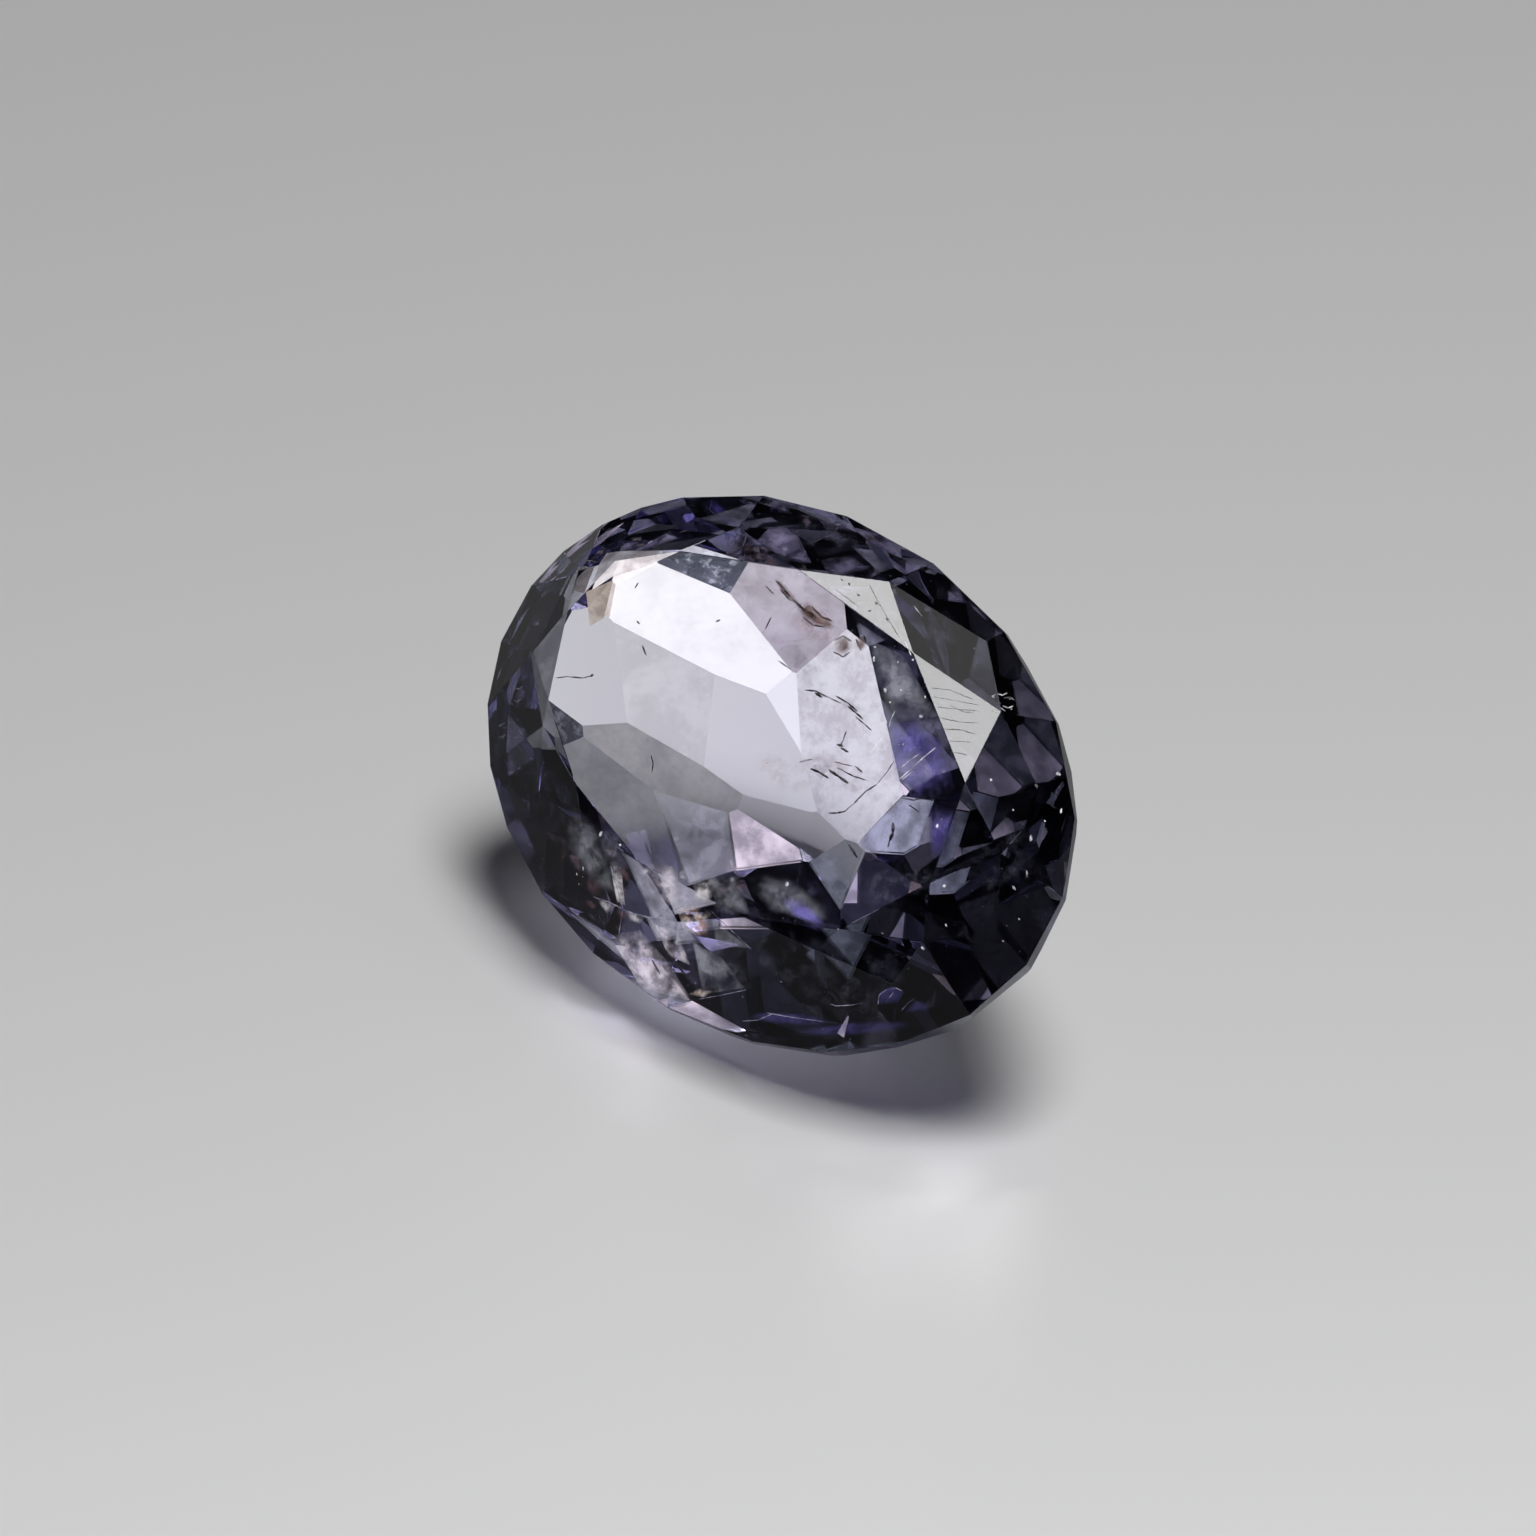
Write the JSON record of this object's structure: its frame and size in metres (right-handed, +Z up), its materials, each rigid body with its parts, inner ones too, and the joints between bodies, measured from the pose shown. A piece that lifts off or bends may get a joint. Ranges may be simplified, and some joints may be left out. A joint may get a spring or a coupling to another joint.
{
  "type": "faceted iolite",
  "caption": "Loose oval faceted iolite, a see-through violet-blue gemstone with a flat table, a cut crown and an irregular tiered pavilion, lying tipped on one of its pavilion facets.",
  "frame": {"origin": "on the ground, under the middle of the box around the lying stone", "axes": "+Z up, with the stone resting on a pavilion facet. The table faces up and towards -Y and -X, and the long axis heads about 37 degrees from +X towards -Y"},
  "size_m": [0.008, 0.0066, 0.0052],
  "materials": {
    "iolite": "polished facets"
  },
  "bodies": {
    "root": {"stone": "iolite"}
  },
  "joints": []
}
